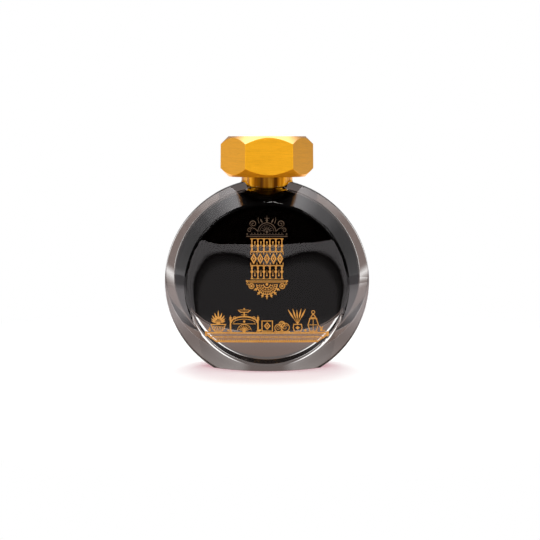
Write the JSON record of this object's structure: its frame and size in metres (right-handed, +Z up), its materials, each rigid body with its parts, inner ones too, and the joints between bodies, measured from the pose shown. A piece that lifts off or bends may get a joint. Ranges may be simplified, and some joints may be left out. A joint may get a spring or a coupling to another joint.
{
  "type": "ink bottle",
  "caption": "Round flat glass ink bottle with a threaded neck, hexagonal gold screw cap with sealing wad, dark ink inside and a gilt ornament printed on its face.",
  "frame": {"origin": "on the table under the middle of the foot", "axes": "+Z up along the neck; the printed face looks along -Y; the bottle is widest along X"},
  "size_m": [0.07, 0.0325, 0.0794],
  "materials": {
    "clear_glass": "polished pressed soda-lime glass",
    "ink_fluid": "black-brown liquid",
    "gold_anodised": "satin brushed gold anodised",
    "liner_plastic": "moulded polypropylene",
    "seal_foam": "closed-cell foam",
    "seal_film": "polymer film",
    "gilt_print": "fired gold foil print"
  },
  "bodies": {
    "bottle": {"glass_bottle": "clear_glass", "ink": "ink_fluid", "emblem_crest_print": "gilt_print", "emblem_rows_print": "gilt_print", "emblem_rosette_print": "gilt_print", "frieze_shelf_print": "gilt_print", "frieze_figures_print": "gilt_print"},
    "wad": {"seal_core": "seal_foam", "seal_facing": "seal_film"},
    "cap": {"cap_shell": "gold_anodised", "cap_insert": "liner_plastic"}
  },
  "joints": [
    {"name": "cap_lift", "type": "slide", "parent": "bottle", "child": "wad", "axis": [0, 0, 1], "range_m": [0, 0.0159]},
    {"name": "cap_turn", "type": "hinge", "parent": "wad", "child": "cap", "pos_m": [0, 0, 0.0724], "axis": [0, 0, 1], "range_deg": [0, 1800]}
  ],
  "couplings": [
    {"joint": "cap_lift", "follows": "cap_turn", "m_per_rad": 0.00050532}
  ]
}
